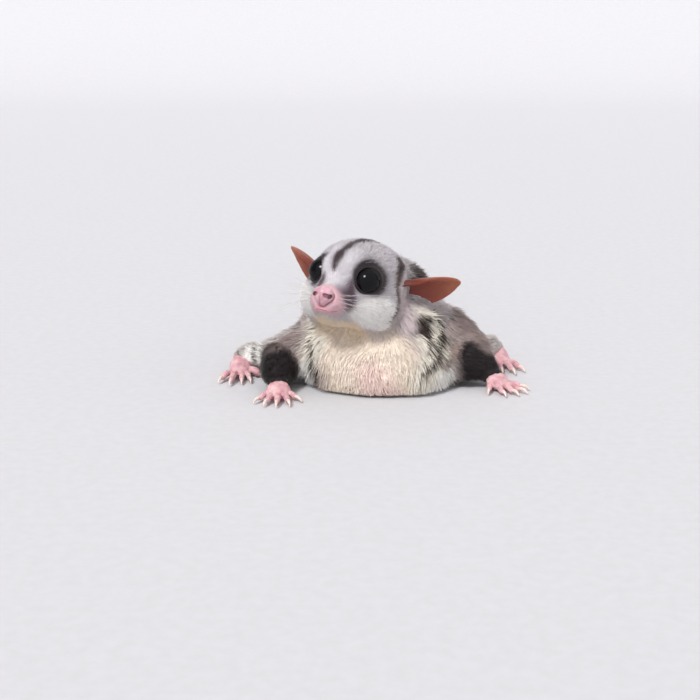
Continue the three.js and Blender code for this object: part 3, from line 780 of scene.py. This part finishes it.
tuft = {
    "bareNose": 0.45, "bareEye": 4.9, "barePaw": 0.3,  # no roots nearer than this
    "underBody": 0.35,                                 # share of the hairs kept where it lies down
    "lengthRange": (0.72, 1.18), "liftSpread": 5, "turnSpread": 0.24,
    "bendPlace": 0.5, "bendLift": 1.35, "tipLift": 0.9,
    "rootsPerClump": 11, "bendLean": 0.4, "hairTone": 0.05, "clumpTone": 0.06,
    "toneRange": (0.65, 1.4), "aboveFloor": 0.3, "sunk": 0.35,
    "shortUnder": 2.4, "fewest": 40, "mostShort": 49000, "mostLong": 19900,
    "patch": 0.003, "skinNormal": 0.75, "ownNormal": 0.5,
}
skin.data.calc_loop_triangles()
triangleCount = len(skin.data.loop_triangles)
corners = readRows(skin.data.loop_triangles, "vertices", 3, np.int32)
loopCorners = readRows(skin.data.loop_triangles, "loops", 3, np.int32)
unwrapped = readRows(skin.data.uv_layers["OFBake"].data, "uv", 2, np.float32)

areas = np.linalg.norm(np.cross(skinPoints[corners[:, 1]] - skinPoints[corners[:, 0]],
                                skinPoints[corners[:, 2]] - skinPoints[corners[:, 0]]), axis=1) / 2
bare = (fromNose < tuft["bareNose"]) | (fromEye < tuft["bareEye"]) | (fromPaw < tuft["barePaw"])
hairDensity = np.where(bare, 0, hairDensity)
underBody = (skinNormals[:, 2] < -0.75) & (skinPoints[:, 2] < 3 * mm)
hairDensity = np.where(underBody, hairDensity * tuft["underBody"], hairDensity)
wanted = areas / mm ** 2 * hairDensity[corners].mean(axis=1)
counts = np.floor(wanted + draw.random(triangleCount)).astype(int)
rootFace = np.repeat(np.arange(triangleCount), counts)
one, two = draw.random((2, len(rootFace)))  # two edges' shares, folded back into the triangle
flip = one + two > 1
one[flip], two[flip] = 1 - one[flip], 1 - two[flip]
weights = np.stack([1 - one - two, one, two], axis=1)[:, :, None]


def atRoots(values):
    return (values[corners[rootFace]] * weights).sum(axis=1)


rootPlace = atRoots(skinPoints)
rootNormal = unit(atRoots(skinNormals))
rootLie = atRoots(lie)
rootLie = unit(rootLie - rootNormal * np.sum(rootLie * rootNormal, axis=1, keepdims=True))
rootColour = atRoots(coatColours)
rootPatch = (unwrapped[loopCorners[rootFace]] * weights).sum(axis=1)
lengths, lifts, widths, clumps = (atRoots(values[:, None])[:, 0]
                                  for values in (hairLength, hairLift, hairWidth, clumping))
rootKind = kindOf[corners[rootFace][:, 0]]
total = len(rootPlace)

lengths = lengths * draw.uniform(*tuft["lengthRange"], total)
lifts = np.radians(lifts + draw.normal(0, tuft["liftSpread"], total))[:, None]
sideways = np.cross(rootNormal, rootLie)
turned = unit(rootLie + sideways * draw.normal(0, tuft["turnSpread"], total)[:, None])


def alongHair(share, liftTimes):
    way = np.cos(lifts * liftTimes) * turned + np.sin(lifts * liftTimes) * rootNormal
    return rootPlace + share * (lengths * mm)[:, None] * way


bendAt = alongHair(tuft["bendPlace"], tuft["bendLift"])
tip = alongHair(1, tuft["tipLift"])

# hairs lean to the clump whose middle is nearest, and each clump has its own tone
middles = np.arange(0, total, tuft["rootsPerClump"])
clumpTree = KDTree(len(middles))
for i, root in enumerate(middles):
    clumpTree.insert(rootPlace[root], i)
clumpTree.balance()
clumpOf = np.array([clumpTree.find(point)[1] for point in rootPlace])
leader = middles[clumpOf]
lean = clumps[:, None]
bendLean = tuft["bendLean"] * lean
tip = tip * (1 - lean) + tip[leader] * lean
bendAt = bendAt * (1 - bendLean) + bendAt[leader] * bendLean
tone = 1 + draw.normal(0, tuft["hairTone"], total)
tone = tone + draw.normal(0, tuft["clumpTone"], len(middles))[clumpOf]
tone = np.clip(tone, *tuft["toneRange"])[:, None]
for spots in (tip, bendAt):
    spots[:, 2] = np.maximum(spots[:, 2], tuft["aboveFloor"] * mm)


def addTufts(name, chosen, short):
    # three-sided hairs, straight when short and bent at the middle when long
    count = len(chosen)
    side = sideways[chosen]
    normal = rootNormal[chosen]
    half = (widths[chosen] * mm / 2)[:, None]
    base = rootPlace[chosen] - normal * tuft["sunk"] * mm
    rings = [[base - side * half, base + side * half, base + normal * half * 0.9]]
    if not short:
        bend = bendAt[chosen]
        rings.append([bend - side * half * 0.85, bend + side * half * 0.85,
                      bend + normal * half * 0.8])
    points = np.stack([p for ring in rings for p in ring] + [tip[chosen]], axis=1)
    perTuft = points.shape[1]
    # colour along each hair: the root is darker, partly as the real grey base of the hair and partly
    # as painted shade deep in the coat, and the tip is paler, as real hair tips are
    if short:
        faces = [(0, 2, 1), (0, 1, 3), (1, 2, 3), (2, 0, 3)]
        patch = [(0, 0), (1, 0), (0.5, 0.2), (0.5, 1)]
        rootShadeTipTone = [0.86, 0.86, 0.88, 1.06]
    else:
        faces = [(0, 2, 1), (0, 1, 4), (0, 4, 3), (1, 2, 5), (1, 5, 4), (2, 0, 3), (2, 3, 5),
                 (3, 4, 6), (4, 5, 6), (5, 3, 6)]
        patch = [(0, 0), (1, 0), (0.5, 0.1), (0.1, 0.5), (0.9, 0.5), (0.5, 0.6), (0.5, 1)]
        rootShadeTipTone = [0.86, 0.86, 0.88, 0.97, 0.97, 0.98, 1.06]
    index = (np.arange(count) * perTuft)[:, None, None] + np.array(faces)[None]
    index = index.reshape(-1)
    mesh = bpy.data.meshes.new(name)
    mesh.vertices.add(count * perTuft)
    mesh.vertices.foreach_set("co", points.reshape(-1))
    mesh.loops.add(len(index))
    mesh.loops.foreach_set("vertex_index", index.astype(np.int32))
    mesh.polygons.add(len(index) // 3)
    mesh.polygons.foreach_set("loop_start", np.arange(0, len(index), 3, dtype=np.int32))
    mesh.update(calc_edges=True)
    spots = rootPatch[chosen][:, None, :] + (np.array(patch)[None] - 0.5) * tuft["patch"]
    layer = mesh.uv_layers.new(name="OFBake")
    layer.data.foreach_set("uv", spots.reshape(-1, 2)[index].astype(np.float32).ravel())
    # normals lean to the skin's, so that light falls on the coat as on one soft surface
    rounding = [-side, side, normal] * len(rings)
    leaning = np.stack([unit(tuft["skinNormal"] * normal + tuft["ownNormal"] * own)
                        for own in rounding] + [normal], axis=1)
    piece = bpy.data.objects.new(name, mesh)
    bpy.context.scene.collection.objects.link(piece)
    colours = (rootColour[chosen] * tone[chosen])[:, None, :] * np.array(rootShadeTipTone)[None, :, None]
    setColours(piece, "coatColour", np.clip(colours, 0, 1).reshape(-1, 3))
    finishPiece(piece, guardHair, "coat")
    mesh.normals_split_custom_set_from_vertices(leaning.reshape(-1, 3))
    return len(mesh.polygons)


made = 0
for kindIndex, kind in enumerate(kinds):
    for short in (True, False):
        chosen = np.flatnonzero((rootKind == kindIndex)
                                & ((lengths < tuft["shortUnder"]) == short))
        most = tuft["mostShort"] if short else tuft["mostLong"]
        for part, start in enumerate(range(0, len(chosen), most)):
            group = chosen[start:start + most]
            if len(group) >= tuft["fewest"]:
                name = ("nap_" if short else "coat_") + kind + "_" + str(part + 1)
                made += addTufts(name, group, short)
print("coat", total, "tufts", made, "triangles")


# Eyes, lids and nose

eye = {"radius": 4.3, "bulge": 0.12, "bulgeFrom": (0.72, 0.95), "irisWidth": 0.45,
       "outward": (0.62, -0.77, 0.17), "lidRadius": 3.78, "lidThick": 0.62, "lidForward": 1.72}
for which, side in leftAndRight.items():
    middle = eyeMiddles[which]
    outward = headTurn @ Vector((side * eye["outward"][0], *eye["outward"][1:])).normalized()
    turn = outward.to_track_quat("Z", "Y").to_euler()
    bpy.ops.object.select_all(action="DESELECT")
    bpy.ops.mesh.primitive_uv_sphere_add(segments=64, ring_count=40, radius=eye["radius"] * mm,
                                         location=middle, rotation=turn)
    ball = joined([bpy.context.active_object], "eyeball_" + which)
    points = pointsOf(ball)
    facing = unit(points - np.array(middle)) @ np.array(outward)
    cornea = smoothStep(*eye["bulgeFrom"], facing)[:, None] * eye["bulge"] * mm
    setPoints(ball, points + np.array(outward) * cornea)
    setShares(ball, "irisReach", (1 - facing) / eye["irisWidth"])
    finishPiece(ball, wetEye, "eye", "eye_" + which)

    bpy.ops.object.select_all(action="DESELECT")
    bpy.ops.mesh.primitive_torus_add(major_segments=72, minor_segments=18,
                                     major_radius=eye["lidRadius"] * mm,
                                     minor_radius=eye["lidThick"] * mm,
                                     location=middle + outward * eye["lidForward"] * mm,
                                     rotation=turn)
    lid = joined([bpy.context.active_object], "eyelid_" + which)
    finishPiece(lid, lidSkin, "coat")

noseValues = {
    "swell": 0.1, "voxel": 0.15, "smooth": 4,
    "pits": [(1.1, -17.4, -5.3), (2.0, -16.2, -5.7), (3.1, -15.0, -5.8)],  # one nostril's line
    "pitReach": 0.58, "pitSoft": 0.5, "pitDepth": 0.45,
    "grooveReach": 0.4, "grooveDepth": 0.3, "grooveTop": (-4.8, -6.4), "grooveShade": 0.25,
    "deepest": 0.9,
}
nose = smoothCopy(["nose"], "nose_pad", noseValues)
points = pointsOf(nose)
where = toHead(points)
where[:, 0] = np.abs(where[:, 0])  # both nostrils at once
pitLine = [(*place, noseValues["pitReach"]) for place in noseValues["pits"]]
pit = bandShare(where, pitLine, noseValues["pitSoft"])
groove = (smoothStep(noseValues["grooveReach"], 0, where[:, 0])
          * smoothStep(*noseValues["grooveTop"], where[:, 2]))
hollow = pit * noseValues["pitDepth"] + groove * noseValues["grooveDepth"]
setPoints(nose, points - normalsOf(nose) * hollow[:, None] * mm)
setShares(nose, "pitShade", np.minimum(pit + noseValues["grooveShade"] * groove,
                                       noseValues["deepest"]))
finishPiece(nose, noseSkin, "nose_skin", "nose")
print("eyes and nose")


# Ears: thin curled leaves, whose roots run on down into the fur

ears = {
    "left": {"root": (13.6, 10.0, -0.25), "tip": (0.85, 0.5, 0.17)},
    "right": {"root": (-13.6, 9.6, -2.1), "tip": (-0.77, 0.52, 0.36)},
}
earValues = {
    "swell": 0.06, "voxel": 0.24, "smooth": 5, "length": 18,
    "rootPull": 3.0, "rootFrom": (4, -1),                    # the root runs on into the head
    "frontPull": 3.2, "frontFrom": (0.5, -4.5), "frontTo": (9, 2),  # its front edge runs back
}
for which, values in ears.items():
    ear = smoothCopy(["ear_" + which], "ear_leaf_" + which, earValues)
    points = pointsOf(ear)
    along = headAxes @ unit(np.array(values["tip"]))
    run = (points - fromHead(values["root"])) @ along / mm
    pull = earValues["rootPull"] * smoothStep(*earValues["rootFrom"], run)
    points = points - along * pull[:, None] * mm
    ahead = (toHead(points) - values["root"])[:, 1]
    front = smoothStep(*earValues["frontFrom"], ahead) * smoothStep(*earValues["frontTo"], run)
    points += headAxes @ np.array([0, 1, -0.2]) * (earValues["frontPull"] * front)[:, None] * mm
    setPoints(ear, points)
    setShares(ear, "earReach", run / earValues["length"])
    finishPiece(ear, earSkin, "ear_skin", "ear_" + which)
print("ears")


# Bare hands and feet, and their claws

pawValues = {
    "swell": 0.12, "voxel": 0.22, "smooth": 5, "aboveFloor": 0.05,
    "hand": (16, 0.36, 0.46), "foot": (25, 0.52, 0.28),  # length, palm's length and width as shares
}
for pawName in pawNodes:
    paw = smoothCopy([pawName], pawName + "_skin", pawValues)
    points = pointsOf(paw)
    points[:, 2] = np.maximum(points[:, 2], pawValues["aboveFloor"] * mm)
    setPoints(paw, points)
    finishPiece(paw, pinkSkin, "bare_skin", pawName)


def tube(points, radii, name, sides):
    # a tapering tube along points in metres, closed at both ends
    curve = bpy.data.curves.new(name, "CURVE")
    curve.dimensions = "3D"
    curve.bevel_depth = 1.0 * mm
    curve.bevel_resolution = sides
    curve.use_fill_caps = True
    spline = curve.splines.new("POLY")
    spline.points.add(len(points) - 1)
    for spot, place, radius in zip(spline.points, points, radii):
        spot.co = (*place, 1)
        spot.radius = radius
    piece = bpy.data.objects.new(name, curve)
    bpy.context.scene.collection.objects.link(piece)
    pick(piece)
    bpy.ops.object.convert(target="MESH")
    return bpy.context.active_object


# place across the palm, turn in degrees, reach, and thickness as shares, and place along the palm
fingers = [(-0.38, -42, 0.28, 0.92, 0.5), (-0.28, -17, 0.38, 0.95, 0.85),
           (-0.04, -2, 0.43, 1, 0.85), (0.2, 11, 0.4, 0.95, 0.85), (0.4, 28, 0.32, 0.9, 0.65)]
toes = [(-0.34, -12, 0.22, 0.8, 0.9), (-0.1, -4, 0.25, 0.85, 0.95), (0.18, 6, 0.32, 1.05, 0.95),
        (0.42, 20, 0.27, 1, 0.85)]
paws = {  # wrist or ankle in the body's numbers, and heading in degrees
    "hand_left": ((39.5, -24), 32), "hand_right": ((-25, -34), -4),
    "foot_left": ((43.5, 10.5), 6), "foot_right": ((-38.5, -2), 0),
}
# a claw's centre line and radius: beyond the fingertip, above the floor, radius
clawRows = [(-0.9, 1.15, 0.5), (0.2, 1.35, 0.56), (1.1, 1.2, 0.46), (1.9, 0.8, 0.3),
            (2.5, 0.25, 0.08)]
for pawName, (wrist, heading) in paws.items():
    part, which = pawName.split("_")
    outer = leftAndRight[which]
    length, palmLength, palmWidth = pawValues[part]
    heading = math.radians(heading)
    forward = np.array([math.sin(heading), -math.cos(heading)])
    sideward = np.array([math.cos(heading), math.sin(heading)])
    claws = []
    for side, bend, reach, thick, start in (fingers if part == "hand" else toes):
        bend = math.radians(outer * bend)
        rows = []
        for beyond, height, _ in clawRows:
            run = reach * length + beyond
            ahead = start * palmLength * length + math.cos(bend) * run
            over = outer * side * palmWidth * length + math.sin(bend) * run
            flat = np.array(wrist) + forward * ahead + sideward * over
            rows.append(fromBody((*flat, height * (thick if beyond < 1.5 else 1))))
        claws.append(tube(rows, [row[2] for row in clawRows], pawName + "_claw", 3))
    finishPiece(joined(claws, pawName + "_claws"), clawHorn, "bare_skin")
print("paws and claws")


# Mouth line and whiskers

skinTree = BVHTree.FromObject(skin, bpy.context.evaluated_depsgraph_get())
mouth = {  # from the corner to the middle, in the head's numbers, with the line's radius
    "line": [(5.1, -6.6, -8.1), (4.5, -9.4, -9.0), (3.2, -12.2, -9.8), (1.2, -13.8, -10.0),
             (0, -14.2, -9.9)],
    "radii": [0.05, 0.09, 0.12, 0.13, 0.13], "proud": 0.02,
}
mouthLine = mouth["line"] + [(-x, y, z) for x, y, z in reversed(mouth["line"][:-1])]
mouthPoints = []
for point in mouthLine:
    place, normal, _, _ = skinTree.find_nearest(Vector(fromHead(point)))
    mouthPoints.append(place + normal * mouth["proud"] * mm)
mouthTube = tube(mouthPoints, mouth["radii"] + mouth["radii"][-2::-1], "mouth_line", 3)
finishPiece(joined([mouthTube], "mouth_line"), mouthSkin, "nose_skin")

whisker = {"rows": (-4.4, -5.6, -6.8, -8.0), "columns": (-12.2, -10.8, -9.4), "steps": 6,
           "sag": 0.12, "rootRadius": 0.036, "tipRadius": 0.01, "stray": 0.06, "sunk": 0.2,
           "lengthRange": (0.85, 1.15)}
whiskerRows = []  # root, direction and length, in the head's numbers
for row, height in enumerate(whisker["rows"]):
    for column, back in enumerate(whisker["columns"]):
        whiskerRows.append(((4.6 + 0.8 * column, back, height),
                            (1.0, -0.35 + 0.4 * column, 0.32 - 0.2 * row), 9.5 + 2.2 * column))
whiskerRows += [((5.5, -5.5, 6.2), (0.5, 0.75, 0.42), 7), ((6.4, -4.6, 6.0), (0.7, 0.6, 0.36), 6),
                ((13.4, 0.5, -5.6), (0.95, 0.3, -0.1), 8)]
whiskers = []
for side in leftAndRight.values():
    for root, direction, length in whiskerRows:
        place, normal, _, _ = skinTree.find_nearest(Vector(fromHead((side * root[0], *root[1:]))))
        way = np.array((side * direction[0], *direction[1:])) + draw.normal(0, whisker["stray"], 3)
        way = headAxes @ unit(way)
        length = length * draw.uniform(*whisker["lengthRange"])
        rows, radii = [], []
        for step in range(whisker["steps"] + 1):
            share = step / whisker["steps"]
            sag = np.array([0, 0, -whisker["sag"] * length * share ** 2])
            rows.append(np.array(place) + (way * length * share + sag) * mm)
            radii.append(whisker["rootRadius"] * (1 - share) + whisker["tipRadius"])
        rows[0] = rows[0] - np.array(normal) * whisker["sunk"] * mm
        whiskers.append(tube(rows, radii, "whisker", 1))
finishPiece(joined(whiskers, "whiskers"), whiskerHair, "dark_coat")
print("mouth and whiskers")
